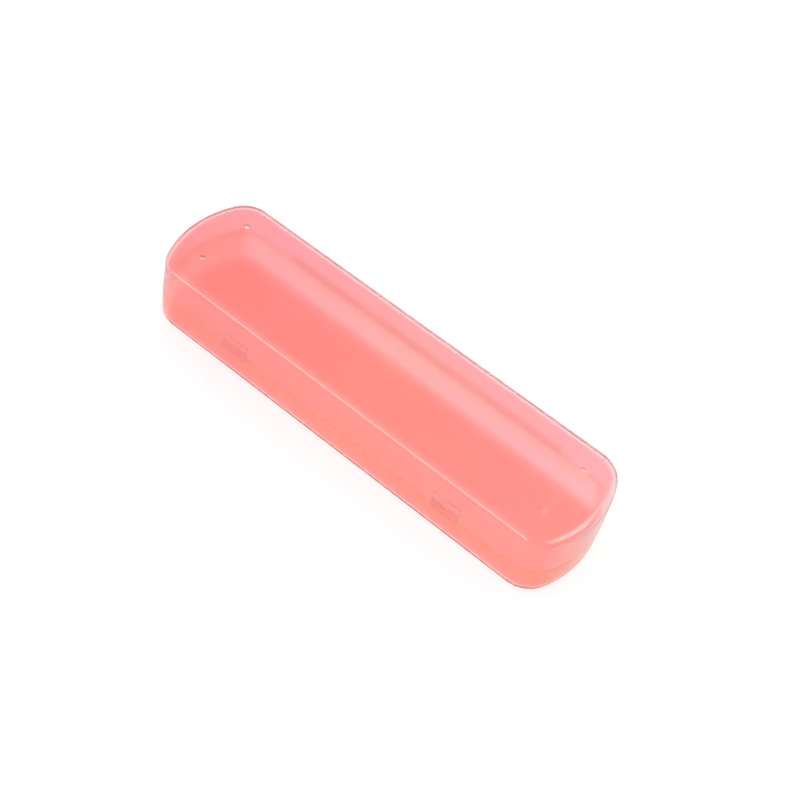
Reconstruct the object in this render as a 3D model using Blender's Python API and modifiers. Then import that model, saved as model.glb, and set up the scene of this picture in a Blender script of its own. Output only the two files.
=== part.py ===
"""Travel toothbrush case: a long box with bowed ends, in two halves joined by a living hinge.

Units are metres and +Z is up. The origin is the middle of the base's flat underside. X runs along
the case, -Y is the front with the snap catches, and +Y is the back with the hinge. The case is shut.
"""
import math

import bmesh
import bpy
from mathutils import Matrix, Vector

# Outside of the shut case
LENGTH = 0.205             # over the bowed ends, at the seam
WIDTH = 0.055              # front wall to back wall, at the seam
BASE_HEIGHT = 0.015        # underside to the base's rim
LID_HEIGHT = 0.0175        # the base's rim to the top of the lid
CORNER_RADIUS = 0.0135     # plan radius where a long side turns into an end
END_RADIUS = 0.048         # plan radius of the bowed ends

# Walls of both halves
WALL = 0.0015
LID_DRAFT = 0.0012         # how far the lid's outline has drawn in at its top; the base's is upright
BASE_FILLET = 0.0035       # outside rounding between the base's walls and its floor
LID_FILLET = 0.0025        # outside rounding between the lid's walls and its top

# Clearances between the solids
SEAM_GAP = 0.0003          # between the two rims
HINGE_GAP = 0.0003         # between the hinge strip and each back wall
CATCH_GAP = 0.0004         # between a catch tongue and the base's front wall
DETENT_GAP = 0.0003        # between a catch bead and the groove around it

# Vent holes through the top of the lid, one near each corner
VENT_DIAMETER = 0.003
VENT_SPACING_X = 0.170
VENT_SPACING_Y = 0.026

# Snap catches: tongues on the lid's front wall that hang inside the base's front wall
CATCH_SPACING = 0.107      # middle to middle
CATCH_WIDTH = 0.0125
CATCH_THICKNESS = 0.0012
CATCH_ROOT = 0.0056        # height above the base's rim where the tongue slopes out of the lid's wall
CATCH_DROP = 0.005         # depth of the tongue below the base's rim
CATCH_FREE = 0.001         # height above the base's rim where the tongue leaves the lid's wall
CATCH_LEAD = 0.0004        # chamfer at the tip
BEAD_RADIUS = 0.0007
BEAD_DROP = 0.0030         # base's rim down to the bead's axis

# Living hinge: a thin strip bent round behind the seam
HINGE_LENGTH = 0.141
HINGE_THICKNESS = 0.0005
HINGE_BEND = 0.0009        # radius of the strip's middle surface
HINGE_STANDOFF = 0.0005    # back wall to the centre of the bend

# Fineness of the round shapes
CORNER_STEPS = 9
END_STEPS = 10
FILLET_STEPS = 5
ROUND_STEPS = 24
BEND_STEPS = 12

# Places that follow from the sizes above
HALF_WIDTH = WIDTH / 2
TOP = BASE_HEIGHT + LID_HEIGHT
LID_RIM = BASE_HEIGHT + SEAM_GAP
SEAM_MIDDLE = BASE_HEIGHT + SEAM_GAP / 2
FRONT_INSIDE = WALL - HALF_WIDTH
TONGUE_OUTER = FRONT_INSIDE + CATCH_GAP
TONGUE_INNER = TONGUE_OUTER + CATCH_THICKNESS
BEAD_Z = BASE_HEIGHT - BEAD_DROP
HINGE_CENTRE_Y = HALF_WIDTH + HINGE_STANDOFF
HINGE_AXIS_Y = HINGE_CENTRE_Y + HINGE_BEND


def collection(name):
    """Add an empty collection to the scene."""
    made = bpy.data.collections.new(name)
    bpy.context.scene.collection.children.link(made)
    return made


def plastic(name, colour, roughness, transmission):
    """A translucent moulded plastic."""
    material = bpy.data.materials.new(name)
    material.use_nodes = True
    shader = material.node_tree.nodes["Principled BSDF"]
    shader.inputs["Base Color"].default_value = (*colour, 1.0)
    shader.inputs["Roughness"].default_value = roughness
    shader.inputs["Metallic"].default_value = 0.0
    shader.inputs["Transmission Weight"].default_value = transmission
    material.diffuse_color = (*colour, 1.0)
    return material


def place(mesh, name, where, material=None):
    """Put a mesh in a collection as an object of its own."""
    obj = bpy.data.objects.new(name, mesh)
    where.objects.link(obj)
    if material:
        mesh.materials.append(material)
    return obj


def helper(mesh, name, where):
    """A shape that is only added to or cut from a sub-part."""
    obj = place(mesh, name, where)
    obj.hide_render = True
    obj.display_type = "WIRE"
    return obj


def arc(centre, radius, start, end, steps):
    """Points along an arc, both ends included; angles in radians."""
    return [
        (centre[0] + radius * math.cos(a), centre[1] + radius * math.sin(a))
        for a in (start + (end - start) * i / steps for i in range(steps + 1))
    ]


def plan_outline(inset):
    """The case's outline from above, drawn in by inset: two straight sides, round corners, bowed ends."""
    corner = CORNER_RADIUS - inset
    end = END_RADIUS - inset
    end_x = LENGTH / 2 - END_RADIUS
    corner_y = HALF_WIDTH - CORNER_RADIUS
    corner_x = end_x + math.sqrt((END_RADIUS - CORNER_RADIUS) ** 2 - corner_y**2)
    turn = math.atan2(corner_y, corner_x - end_x)
    upper = arc((corner_x, corner_y), corner, math.pi / 2, turn, CORNER_STEPS)
    bow = arc((end_x, 0), end, turn, -turn, END_STEPS)[1:-1]
    right = upper + bow + [(x, -y) for x, y in reversed(upper)]
    return right + [(-x, -y) for x, y in right]


def ring(bm, inset, z):
    """A closed loop of edges along the outline at height z."""
    verts = [bm.verts.new((x, y, z)) for x, y in plan_outline(inset)]
    return [bm.edges.new((a, b)) for a, b in zip(verts, verts[1:] + verts[:1])]


def half_shell(name, rim_z, face_z, draft, fillet, where, material):
    """One half of the case: a tray whose mouth is at rim_z and whose flat face is at face_z."""
    bm = bmesh.new()
    rim = ring(bm, 0.0, rim_z)
    foot = ring(bm, draft, face_z)
    bmesh.ops.bridge_loops(bm, edges=rim + foot)
    bmesh.ops.contextual_create(bm, geom=foot)
    bmesh.ops.recalc_face_normals(bm, faces=bm.faces)
    flat = max(bm.faces, key=lambda face: len(face.verts))
    if flat.normal.z * (face_z - rim_z) < 0:
        bmesh.ops.reverse_faces(bm, faces=bm.faces)
    mesh = bpy.data.meshes.new(name)
    bm.to_mesh(mesh)
    bm.free()
    mesh.shade_smooth()
    obj = place(mesh, name, where, material)

    bevel = obj.modifiers.new("fillet", "BEVEL")
    bevel.width = fillet
    bevel.segments = FILLET_STEPS
    bevel.limit_method = "ANGLE"
    bevel.angle_limit = math.radians(45)

    wall = obj.modifiers.new("wall", "SOLIDIFY")
    wall.thickness = WALL
    wall.offset = -1.0
    wall.use_even_offset = True
    return obj


def boolean(obj, name, other, operation):
    """Add other to obj or cut it away."""
    modifier = obj.modifiers.new(name, "BOOLEAN")
    modifier.operation = operation
    modifier.object = other


def prism(name, profile, length):
    """A profile of (y, z) points drawn out along X, centred on x = 0."""
    bm = bmesh.new()
    face = bm.faces.new([bm.verts.new((-length / 2, y, z)) for y, z in profile])
    swept = bmesh.ops.extrude_face_region(bm, geom=[face])
    moved = [item for item in swept["geom"] if isinstance(item, bmesh.types.BMVert)]
    bmesh.ops.translate(bm, vec=Vector((length, 0, 0)), verts=moved)
    bmesh.ops.recalc_face_normals(bm, faces=bm.faces)
    mesh = bpy.data.meshes.new(name)
    bm.to_mesh(mesh)
    bm.free()
    return mesh


def rod(name, radius, length, along):
    """A round rod centred on the origin, along X or Z."""
    bm = bmesh.new()
    turn = Matrix.Rotation(math.pi / 2, 4, "Y") if along == "X" else Matrix.Identity(4)
    bmesh.ops.create_cone(
        bm, cap_ends=True, segments=ROUND_STEPS, radius1=radius, radius2=radius, depth=length, matrix=turn
    )
    mesh = bpy.data.meshes.new(name)
    bm.to_mesh(mesh)
    bm.free()
    return mesh


def tongue_profile():
    """Section of a catch tongue with its root in the lid's front wall, its bead and its chamfered tip."""
    root = BASE_HEIGHT + CATCH_ROOT
    free = BASE_HEIGHT + CATCH_FREE
    tip = BASE_HEIGHT - CATCH_DROP
    inside_wall = FRONT_INSIDE - WALL / 2
    bead = arc((TONGUE_OUTER, BEAD_Z), BEAD_RADIUS, math.pi / 2, math.pi * 3 / 2, BEND_STEPS)
    return [
        (inside_wall, root),
        (inside_wall, free),
        (TONGUE_OUTER, free),
        *bead,
        (TONGUE_OUTER, tip + CATCH_LEAD),
        (TONGUE_OUTER + CATCH_LEAD, tip),
        (TONGUE_INNER - CATCH_LEAD, tip),
        (TONGUE_INNER, tip + CATCH_LEAD),
        (TONGUE_INNER, root - (TONGUE_INNER - inside_wall)),
    ]


def hinge_profile():
    """Section of the hinge strip: a half ring round the bend, with a short leg to each back wall."""
    centre = (HINGE_CENTRE_Y, SEAM_MIDDLE)
    near_wall = HALF_WIDTH + HINGE_GAP
    outer = HINGE_BEND + HINGE_THICKNESS / 2
    inner = HINGE_BEND - HINGE_THICKNESS / 2
    return [
        (near_wall, SEAM_MIDDLE - outer),
        *arc(centre, outer, -math.pi / 2, math.pi / 2, BEND_STEPS),
        (near_wall, SEAM_MIDDLE + outer),
        (near_wall, SEAM_MIDDLE + inner),
        *arc(centre, inner, math.pi / 2, -math.pi / 2, BEND_STEPS),
        (near_wall, SEAM_MIDDLE - inner),
    ]


def make_base(case, cutters):
    """The lower half, with a groove for each catch bead inside its front wall."""
    material = plastic("base_plastic", (0.97, 0.30, 0.25), 0.30, 0.5)
    base = half_shell("base_tray", BASE_HEIGHT, 0.0, 0.0, BASE_FILLET, case, material)
    groove = rod("catch_groove", BEAD_RADIUS + DETENT_GAP, CATCH_WIDTH + 2 * DETENT_GAP, "X")
    for side, sign in (("left", -1), ("right", 1)):
        cutter = helper(groove, f"catch_groove_{side}", cutters)
        cutter.location = (sign * CATCH_SPACING / 2, TONGUE_OUTER, BEAD_Z)
        boolean(base, f"groove_{side}", cutter, "DIFFERENCE")
    return base


def make_lid(case, cutters):
    """The upper half, with four vents in its top and two catch tongues inside its front wall."""
    material = plastic("lid_plastic", (0.98, 0.38, 0.34), 0.22, 0.7)
    lid = half_shell("lid", LID_RIM, TOP, LID_DRAFT, LID_FILLET, case, material)
    tongue = prism("catch_tongue", tongue_profile(), CATCH_WIDTH)
    for side, sign in (("left", -1), ("right", 1)):
        catch = helper(tongue, f"catch_tongue_{side}", cutters)
        catch.location.x = sign * CATCH_SPACING / 2
        boolean(lid, f"catch_{side}", catch, "UNION")
    vent = rod("vent", VENT_DIAMETER / 2, 4 * WALL, "Z")
    for end, x_sign in (("left", -1), ("right", 1)):
        for row, y_sign in (("front", -1), ("back", 1)):
            cutter = helper(vent, f"vent_{end}_{row}", cutters)
            cutter.location = (x_sign * VENT_SPACING_X / 2, y_sign * VENT_SPACING_Y / 2, TOP - WALL / 2)
            boolean(lid, f"vent_{end}_{row}", cutter, "DIFFERENCE")
    return lid


def make_hinge(case):
    """The thin strip that both halves fold on."""
    material = plastic("hinge_plastic", (0.97, 0.34, 0.29), 0.30, 0.7)
    mesh = prism("living_hinge", hinge_profile(), HINGE_LENGTH)
    return place(mesh, "living_hinge", case, material)


def main():
    """Build the shut case."""
    for old in list(bpy.data.objects):
        bpy.data.objects.remove(old, do_unlink=True)
    case = collection("travel_toothbrush_case")
    cutters = collection("cutters")
    axis = bpy.data.objects.new("hinge_axis", None)
    axis.location = (0.0, HINGE_AXIS_Y, SEAM_MIDDLE)
    case.objects.link(axis)
    bpy.context.view_layer.update()

    make_base(case, cutters)
    lid = make_lid(case, cutters)
    lid.parent = axis
    lid.matrix_parent_inverse = axis.matrix_world.inverted()
    make_hinge(case)


main()
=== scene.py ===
"""Looks for the travel toothbrush case: fine moulded shells, living hinge, plastic, studio.

Metres, +Z up. X runs along the case, -Y is the front with the snap catches, +Y is the back.
"""

import math

import bmesh
import bpy
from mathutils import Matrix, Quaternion, Vector


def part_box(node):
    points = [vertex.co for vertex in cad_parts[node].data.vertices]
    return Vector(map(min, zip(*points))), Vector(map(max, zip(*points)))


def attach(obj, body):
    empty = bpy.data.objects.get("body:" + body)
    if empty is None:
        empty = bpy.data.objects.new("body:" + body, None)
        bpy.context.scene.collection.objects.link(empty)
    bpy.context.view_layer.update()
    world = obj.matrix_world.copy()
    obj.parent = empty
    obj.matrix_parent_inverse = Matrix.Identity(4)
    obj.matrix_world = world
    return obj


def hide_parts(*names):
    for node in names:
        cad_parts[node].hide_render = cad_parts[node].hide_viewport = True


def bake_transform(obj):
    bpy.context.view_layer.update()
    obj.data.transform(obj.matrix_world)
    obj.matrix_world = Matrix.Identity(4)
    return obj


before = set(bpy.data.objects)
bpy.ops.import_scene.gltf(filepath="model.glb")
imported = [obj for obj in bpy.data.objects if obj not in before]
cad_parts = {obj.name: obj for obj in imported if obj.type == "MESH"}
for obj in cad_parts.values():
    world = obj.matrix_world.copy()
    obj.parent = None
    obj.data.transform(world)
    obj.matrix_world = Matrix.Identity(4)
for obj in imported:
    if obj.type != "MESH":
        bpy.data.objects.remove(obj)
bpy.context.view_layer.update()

# The moulding. Its length, width and heights are those of the CAD solids.
base_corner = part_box("base_tray")[1]
lid_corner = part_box("lid")[1]
HALF_LENGTH = base_corner.x
HALF_WIDTH = base_corner.y
RIM = base_corner.z
TOP = lid_corner.z
WALL = 0.0015
CORNER = 0.0135             # plan radius between a long side and an end
BOW = 0.048                 # plan radius of the ends
BASE_FILLET = 0.0035
BASE_INNER_FILLET = 0.002
LID_FILLET = 0.0036
LID_INNER_FILLET = 0.0031
LID_SPREAD = 1.2            # the lid's outer fillet reaches that many times its radius
LID_DRAFT = 0.00075         # how far the lid's walls have drawn in at its top
EDGE = 0.00005              # chamfer of the rims
MITRE = 0.0009              # the lid's rim hangs that far inside the base's
LID_RIM = RIM + 0.00003
SEAM = (RIM + LID_RIM) / 2

# The snap catches: tongues on the lid, each with a bead, behind the base's front wall
TONGUE_X = 0.0535           # to each side of the middle
TONGUE_WIDTH = 0.0125
TONGUE_OUTER = WALL - HALF_WIDTH + 0.0004
TONGUE_INNER = TONGUE_OUTER + 0.0006
TONGUE_ROOT = RIM + 0.0056  # the tongue slopes out of the lid's wall from here
TONGUE_FREE = RIM + 0.001   # and leaves it here
TONGUE_TIP = RIM - 0.005
TONGUE_LEAD = 0.00015       # chamfer of the tip
IN_WALL = WALL / 2 - HALF_WIDTH
BEAD_RADIUS = 0.0014
BEAD_CENTRE = (TONGUE_OUTER + 0.00112, RIM - 0.003)
BEAD_TURN = 0.64            # half the bead's arc, in radians

# The vents: a hole and a shallow dish on both faces of the lid's top, as (radius, height)
VENT_X, VENT_Y = 0.085, 0.013
VENT = (
    (0.0032, -0.00008 - WALL),
    (0.003, -WALL),
    (0.0011, 0.0005 - WALL),
    (0.0011, -0.0005),
    (0.003, 0.0),
    (0.0032, 0.00008),
)

# The living hinge: a half-round strip along the back
WEB_LENGTH = 0.141
WEB_OUTER, WEB_INNER = 0.00115, 0.00065
WEB_CENTRE = (HALF_WIDTH + 0.0005, SEAM)
WEB_TOUCH = HALF_WIDTH + 0.00003    # the strip's ends, just off the back walls

# How finely curves are divided
STRAIGHT_STEPS, CORNER_STEPS, BOW_STEPS = 24, 22, 44
FILLET_STEPS, SPREAD_STEPS = 14, 20
BEAD_STEPS, VENT_STEPS, WEB_STEPS = 20, 48, 28


def arc(centre, radius, start, end, steps):
    return [
        (centre[0] + radius * math.cos(start + (end - start) * i / steps),
         centre[1] + radius * math.sin(start + (end - start) * i / steps))
        for i in range(steps + 1)
    ]


def outline(inset):
    """The plan of the case drawn in by inset, all the way round."""
    end_x = HALF_LENGTH - BOW
    corner_y = HALF_WIDTH - CORNER
    corner_x = end_x + math.sqrt((BOW - CORNER) ** 2 - corner_y ** 2)
    turn = math.atan2(corner_y, corner_x - end_x)
    straight = [(corner_x * i / STRAIGHT_STEPS, HALF_WIDTH - inset) for i in range(STRAIGHT_STEPS)]
    upper = straight + arc((corner_x, corner_y), CORNER - inset, math.pi / 2, turn, CORNER_STEPS)
    bow = arc((end_x, 0), BOW - inset, turn, -turn, BOW_STEPS)[1:-1]
    right = upper + bow + [(x, -y) for x, y in reversed(upper)]
    left = [(-x, -y) for x, y in right]
    return (right[:-1] + left[:-1])[::-1]


def shell_profile(height, fillet, inner_fillet, draft, mitre, spread=1.0):
    """Section of a tray, mouth up, from the middle of the underside over the rim to the floor.

    Points are (inset, height above the foot). The rim's inner edge stands higher than its outer
    edge by mitre. A spread over 1 draws the outer fillet's ends further out without moving its
    middle.
    """
    flat = 0.0006           # of underside and floor beside each fillet
    lean = math.atan2(draft, height)

    def wall(z):
        return draft * (1 - z / height)

    def corner(radius, thickness):
        centre = (wall(thickness + radius) + thickness + radius, thickness + radius)
        return [
            (centre[0] - radius * math.sin(a), centre[1] - radius * math.cos(a))
            for a in ((math.pi / 2 - lean) * i / FILLET_STEPS for i in range(FILLET_STEPS + 1))
        ]

    def eased(radius, reach):
        """A cubic from wall to foot whose middle is that of a round fillet."""
        middle = 2.343      # 8 (1 - sqrt 1/2)
        near = reach * (1 - (4 - middle * radius / reach) / 3)
        handles = (
            (wall(reach), reach), (wall(near), near),
            (wall(0) + near, 0.0), (wall(0) + reach, 0.0),
        )
        points = []
        for t in (i / SPREAD_STEPS for i in range(SPREAD_STEPS + 1)):
            share = ((1 - t) ** 3, 3 * (1 - t) ** 2 * t, 3 * (1 - t) * t ** 2, t ** 3)
            points.append(tuple(sum(w * p[k] for w, p in zip(share, handles)) for k in (0, 1)))
        return points[::-1]

    outer = eased(fillet, fillet * spread) if spread > 1 else corner(fillet, 0)
    inner = corner(inner_fillet, WALL)
    rings = [(outer[0][0] + flat, 0.0)] + outer
    for k in (0.25, 0.5, 0.75):
        z = outer[-1][1] + (height - EDGE - outer[-1][1]) * k
        rings.append((wall(z), z))
    rings += [
        (0, height - EDGE),
        (EDGE, height),
        (WALL - EDGE, height + mitre),
        (WALL, height + mitre - EDGE),
    ]
    for k in (0.75, 0.5, 0.25):
        z = WALL + inner_fillet + (height + mitre - EDGE - WALL - inner_fillet) * k
        rings.append((wall(z) + WALL, z))
    return rings + inner[::-1] + [(inner[0][0] + flat, WALL)]


def placed(name, data):
    obj = bpy.data.objects.new(name, data)
    bpy.context.scene.collection.objects.link(obj)
    return obj


def loft(name, rings):
    """A solid through rings of points, closed by its first and last ring."""
    bm = bmesh.new()
    loops = [[bm.verts.new(point) for point in ring] for ring in rings]
    count = len(loops[0])
    for a, b in zip(loops, loops[1:]):
        for i in range(count):
            j = (i + 1) % count
            bm.faces.new((a[i], a[j], b[j], b[i]))
    bm.faces.new(loops[0])
    bm.faces.new(loops[-1])
    bmesh.ops.recalc_face_normals(bm, faces=bm.faces)
    mesh = bpy.data.meshes.new(name)
    bm.to_mesh(mesh)
    bm.free()
    return mesh


def shell(name, rings, place):
    """Loft the section round the outline; place turns a height above the foot into a world z."""
    return placed(name, loft(name, [
        [(x, y, place(z)) for x, y in outline(inset)] for inset, z in rings]))


def spindle(name, profile):
    """A solid of revolution about Z, from (radius, z) points."""
    turns = [2 * math.pi * i / VENT_STEPS for i in range(VENT_STEPS)]
    return loft(name, [[(r * math.cos(a), r * math.sin(a), z) for a in turns] for r, z in profile])


def prism(name, profile, length):
    """A (y, z) section swept along X."""
    return loft(name, [[(x, y, z) for y, z in profile] for x in (-length / 2, length / 2)])


def settle(obj):
    """Apply every modifier."""
    bpy.context.view_layer.update()
    graph = bpy.context.evaluated_depsgraph_get()
    made = bpy.data.meshes.new_from_object(obj.evaluated_get(graph))
    obj.modifiers.clear()
    old = obj.data
    obj.data = made
    bpy.data.meshes.remove(old)
    made.name = obj.name


def combine(obj, mesh, where, operation):
    """Boolean a shape into obj and remove the shape."""
    tool = placed("tool", mesh)
    tool.location = where
    modifier = obj.modifiers.new("boolean", "BOOLEAN")
    modifier.operation = operation
    modifier.object = tool
    settle(obj)
    bpy.data.objects.remove(tool, do_unlink=True)


def soften(obj, width):
    """Round the sharp edges a little and shade smooth."""
    bevel = obj.modifiers.new("bevel", "BEVEL")
    bevel.width = width
    bevel.segments = 3
    bevel.limit_method = "ANGLE"
    bevel.angle_limit = math.radians(40)
    weld = obj.modifiers.new("weld", "WELD")
    weld.merge_threshold = 0.000002
    settle(obj)
    obj.data.shade_smooth()
    weighted = obj.modifiers.new("normals", "WEIGHTED_NORMAL")
    weighted.keep_sharp = True
    weighted.weight = 80
    settle(obj)


# The base
base = shell(
    "case_base", shell_profile(RIM, BASE_FILLET, BASE_INNER_FILLET, 0.0, -MITRE), lambda z: z)
soften(base, 0.00012)

# The lid, with its catch tongues and vents
lid = shell(
    "case_lid",
    shell_profile(TOP - LID_RIM, LID_FILLET, LID_INNER_FILLET, LID_DRAFT, MITRE, LID_SPREAD),
    lambda z: TOP - z)
tongue = [
    (IN_WALL, TONGUE_ROOT),
    (IN_WALL, TONGUE_FREE),
    (TONGUE_OUTER, TONGUE_FREE),
    *arc(BEAD_CENTRE, BEAD_RADIUS, math.pi - BEAD_TURN, math.pi + BEAD_TURN, BEAD_STEPS),
    (TONGUE_OUTER, TONGUE_TIP + TONGUE_LEAD),
    (TONGUE_OUTER + TONGUE_LEAD, TONGUE_TIP),
    (TONGUE_INNER - TONGUE_LEAD, TONGUE_TIP),
    (TONGUE_INNER, TONGUE_TIP + TONGUE_LEAD),
    (TONGUE_INNER, TONGUE_ROOT - (TONGUE_INNER - IN_WALL)),
]
for side in (-1, 1):
    combine(lid, prism("tongue", tongue, TONGUE_WIDTH), (side * TONGUE_X, 0, 0), "UNION")
for x in (-VENT_X, VENT_X):
    for y in (-VENT_Y, VENT_Y):
        combine(lid, spindle("vent", VENT), (x, y, TOP), "DIFFERENCE")
soften(lid, 0.00015)

# The living hinge
web = placed("hinge_web", prism("hinge_web", [
    (WEB_TOUCH, SEAM - WEB_OUTER),
    *arc(WEB_CENTRE, WEB_OUTER, -math.pi / 2, math.pi / 2, WEB_STEPS),
    (WEB_TOUCH, SEAM + WEB_OUTER),
    (WEB_TOUCH, SEAM + WEB_INNER),
    *arc(WEB_CENTRE, WEB_INNER, math.pi / 2, -math.pi / 2, WEB_STEPS),
    (WEB_TOUCH, SEAM - WEB_INNER),
], WEB_LENGTH))
soften(web, 0.0001)

# Plastic. Each band is a row of (place along that axis, factor on the tint); the bands are painted
# light and shade multiplied into the tint.
ROUGHNESS = 0.2
GLOWING = (1.0, 0.66, 0.60)
# Painted light and shade along the case: darker and more orange at the left end, paler and bluer
# towards the right end, where the lamps' reflections fall.
PAINTED_SHADE_ALONG = (
    (-0.1025, (1, 0.87, 0.88)),
    (-0.06, (1, 0.92, 0.95)),
    (0.0, (1, 0.965, 0.95)),
    (0.06, (1, 0.97, 0.985)),
    (0.1025, (1, 1, 1)),
)
# Painted light and shade on the base: the back wall palest, as if lit from behind, the front wall
# paler than the floor, a paler bluish band low on the walls as a painted reflection at the inner
# fillet, and painted shade deeper and more orange towards the seam.
BASE_PAINTED_LIGHT = {
    "X": PAINTED_SHADE_ALONG,
    "Y": (
        (-0.026, (1, 0.86, 0.825)),
        (-0.0225, (1, 0.714, 0.604)),
        (0.0225, (1, 0.714, 0.609)),
        (0.026, (1, 1, 1)),
    ),
    "Z": (
        (0.0, (1, 1, 0.93)),
        (0.002, (1, 1, 0.98)),
        (0.004, (1, 1, 0.98)),
        (0.0075, (1, 1, 0.9)),
        (0.012, (1, 0.98, 0.8)),
    ),
}
# Painted light and shade on the lid: the front wall palest, the back wall paler than the middle of
# the top, and a little less blue towards the rim.
LID_PAINTED_LIGHT = {
    "X": PAINTED_SHADE_ALONG,
    "Y": (
        (-0.026, (1, 1, 0.955)),
        (-0.0225, (1, 0.895, 0.86)),
        (0.0225, (1, 0.895, 0.888)),
        (0.026, (1, 0.945, 0.943)),
    ),
    "Z": (
        (0.015, (1, 1, 0.97)),
        (0.019, (1, 1, 1)),
    ),
}


def plastic(name, tint, milky, haze, painted_light_bands):
    """Translucent polypropylene: see-through, with a milky share, flow marks, fine grain and
    painted light and shade from the bands.
    """
    material = bpy.data.materials.new(name)
    material.use_nodes = True
    nodes, links = material.node_tree.nodes, material.node_tree.links
    nodes.clear()

    def node(kind, **values):
        made = nodes.new(kind)
        for key, value in values.items():
            if key in made.inputs:
                made.inputs[key].default_value = value
            else:
                setattr(made, key, value)
        return made

    def link(a, out, b, into):
        links.new(a.outputs[out], b.inputs[into])

    def mixed(factor, first, second):
        """A Mix Shader of two (node, output) pairs."""
        made = node("ShaderNodeMixShader")
        made.inputs[0].default_value = factor
        link(*first, made, 1)
        link(*second, made, 2)
        return made

    where = node("ShaderNodeTexCoord")
    stretch = node("ShaderNodeMapping", Scale=(0.25, 1.0, 1.0))
    link(where, "Object", stretch, "Vector")
    flow = node("ShaderNodeTexNoise", Scale=60.0, Detail=3.0, Roughness=0.55)
    link(stretch, "Vector", flow, "Vector")
    grain = node("ShaderNodeTexNoise", Scale=1500.0, Detail=2.0, Roughness=0.5)
    link(where, "Object", grain, "Vector")

    tinted = node("ShaderNodeMix", data_type="RGBA")
    tinted.inputs["A"].default_value = (*tint, 1)
    tinted.inputs["B"].default_value = (tint[0], tint[1] * 0.95, tint[2] * 0.94, 1)
    link(flow, "Fac", tinted, "Factor")
    place = node("ShaderNodeSeparateXYZ")
    link(where, "Object", place, "Vector")
    # Painted light and shade: ramps along X, Y and Z multiply the tint.
    for axis, stops in painted_light_bands.items():
        low, high = stops[0][0], stops[-1][0]
        along = node("ShaderNodeMapRange", **{"From Min": low, "From Max": high})
        link(place, axis, along, "Value")
        ramp = node("ShaderNodeValToRGB")
        elements = ramp.color_ramp.elements
        while len(elements) < len(stops):
            elements.new(1.0)
        for element, (at, shade) in zip(elements, stops):
            element.position = (at - low) / (high - low)
            element.color = (*shade, 1)
        link(along, "Result", ramp, "Fac")
        more = node("ShaderNodeMix", data_type="RGBA", blend_type="MULTIPLY", Factor=1.0)
        link(tinted, "Result", more, "A")
        link(ramp, "Color", more, "B")
        tinted = more

    rough = node("ShaderNodeMapRange", **{"To Min": ROUGHNESS * 0.8, "To Max": ROUGHNESS * 1.25})
    link(flow, "Fac", rough, "Value")
    peel = node("ShaderNodeBump", Strength=0.08, Distance=0.0004)
    link(flow, "Fac", peel, "Height")
    fine = node("ShaderNodeBump", Strength=0.02, Distance=0.00005)
    link(grain, "Fac", fine, "Height")
    link(peel, "Normal", fine, "Normal")

    clear = node("ShaderNodeBsdfPrincipled", **{"IOR": 1.42, "Transmission Weight": 1.0})
    link(tinted, "Result", clear, "Base Color")
    link(rough, "Result", clear, "Roughness")
    link(fine, "Normal", clear, "Normal")
    milk = node("ShaderNodeBsdfDiffuse", Color=(*milky, 1))
    glow = node("ShaderNodeBsdfTranslucent", Color=(*GLOWING, 1))
    cloud = mixed(0.5, (milk, "BSDF"), (glow, "BSDF"))
    body = mixed(haze, (clear, "BSDF"), (cloud, "Shader"))

    # Lamps shine through, so that the case's shadow is soft and pink
    through = node("ShaderNodeBsdfTransparent", Color=(1.0, 0.86, 0.84, 1))
    lit = mixed(0.0, (body, "Shader"), (through, "BSDF"))
    link(node("ShaderNodeLightPath"), "Is Shadow Ray", lit, 0)
    link(lit, "Shader", node("ShaderNodeOutputMaterial"), "Surface")
    return material


for piece, node_name, tint, milky, haze, painted_light_bands in (
    (base, "base_tray", (1.0, 0.83, 0.885), (1.0, 0.62, 0.66), 0.08, BASE_PAINTED_LIGHT),
    (lid, "lid", (1.0, 0.773, 0.8), (1.0, 0.62, 0.66), 0.08, LID_PAINTED_LIGHT),
    (web, "living_hinge", (1.0, 0.93, 0.86), (1.0, 0.62, 0.62), 0.06, {"X": PAINTED_SHADE_ALONG}),
):
    piece.data.materials.clear()
    piece.data.materials.append(plastic(piece.name + "_plastic", tint, milky, haze, painted_light_bands))
    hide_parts(node_name)
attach(base, "base")
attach(lid, "lid")
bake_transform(web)


# Studio: a pale floor in a white room
def looked_at(tree, low, high):
    """A value that is high where the camera looks, also through or off plastic, else low."""
    path = tree.nodes.new("ShaderNodeLightPath")
    seen = path.outputs["Is Camera Ray"]
    for ray in ("Is Glossy Ray", "Is Transmission Ray"):
        more = tree.nodes.new("ShaderNodeMath")
        more.operation = "MAXIMUM"
        tree.links.new(seen, more.inputs[0])
        tree.links.new(path.outputs[ray], more.inputs[1])
        seen = more.outputs[0]
    level = tree.nodes.new("ShaderNodeMapRange")
    level.inputs["To Min"].default_value = low
    level.inputs["To Max"].default_value = high
    tree.links.new(seen, level.inputs["Value"])
    return level.outputs["Result"]


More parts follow.
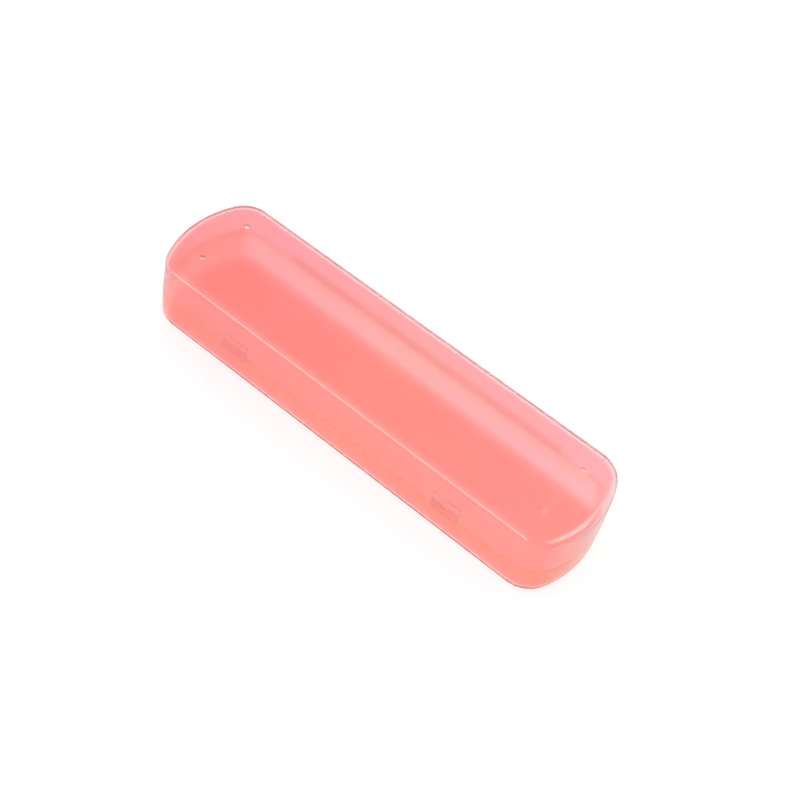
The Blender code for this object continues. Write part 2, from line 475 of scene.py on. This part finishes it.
FLOOR_HALF = 6
floor_mesh = bpy.data.meshes.new("floor")
floor_mesh.from_pydata(
    [(x * FLOOR_HALF, y * FLOOR_HALF, 0) for x, y in ((-1, -1), (1, -1), (1, 1), (-1, 1))],
    [], [(0, 1, 2, 3)])
floor = placed("floor", floor_mesh)
floor.location.z = -0.0002
pale = bpy.data.materials.new("pale_floor")
pale.use_nodes = True
shader = pale.node_tree.nodes["Principled BSDF"]
shader.inputs["Base Color"].default_value = (0.9, 0.9, 0.9, 1)
shader.inputs["Roughness"].default_value = 0.9
shader.inputs["Specular IOR Level"].default_value = 0.1
shader.inputs["Emission Color"].default_value = (1, 1, 1, 1)
pale.node_tree.links.new(
    looked_at(pale.node_tree, 0.0, 0.3), shader.inputs["Emission Strength"])
floor_mesh.materials.append(pale)

world = bpy.data.worlds.new("studio")
bpy.context.scene.world = world
world.use_nodes = True
background = world.node_tree.nodes["Background"]
background.inputs["Color"].default_value = (1, 1, 1, 1)
world.node_tree.links.new(
    looked_at(world.node_tree, 0.85, 1.0), background.inputs["Strength"])

# Four soft boxes for the highlights, and a weak key lamp. The boxes act on reflections only, and
# leave out the heights that the flat lid mirrors in low views. A lamp faces the case and is given
# by its radiance.
COOL = (0.96, 0.97, 1.04)
for name, centre, size, radiance, gloss_only in (
    ("front_low", (-0.37, -1.05, 0.125), (1.0, 0.23), 8.2, True),
    ("front_box", (-0.34, -0.86, 0.74), (0.95, 0.5), 1.4, True),
    ("right_box", (0.82, 0.075, 0.82), (1.07, 0.72), 4.5, True),
    ("back_box", (0.62, 0.48, 0.72), (0.75, 0.55), 4.0, True),
    ("key", (-0.5, -0.9, 1.1), (0.8, 0.8), 0.3, False),
):
    light = bpy.data.lights.new(name, "AREA")
    light.shape = "RECTANGLE"
    light.size, light.size_y = size
    light.color = COOL
    light.energy = radiance * math.pi * size[0] * size[1]
    lamp = placed(name, light)
    lamp.location = centre
    lamp.rotation_euler = Vector(centre).to_track_quat("Z", "Y").to_euler()
    lamp.visible_diffuse = not gloss_only
    lamp.visible_transmission = not gloss_only

# Camera at the photograph's angle
camera_data = bpy.data.cameras.new("camera")
camera_data.sensor_width = 36
camera_data.lens = 60.014
camera = placed("camera", camera_data)
camera.location = (0.161664, -0.295166, 0.420273)
camera.rotation_mode = "QUATERNION"
camera.rotation_quaternion = Quaternion((0.878606, 0.335367, 0.035959, 0.338064))
bpy.context.scene.camera = camera

bpy.context.scene.view_settings.view_transform = "Standard"
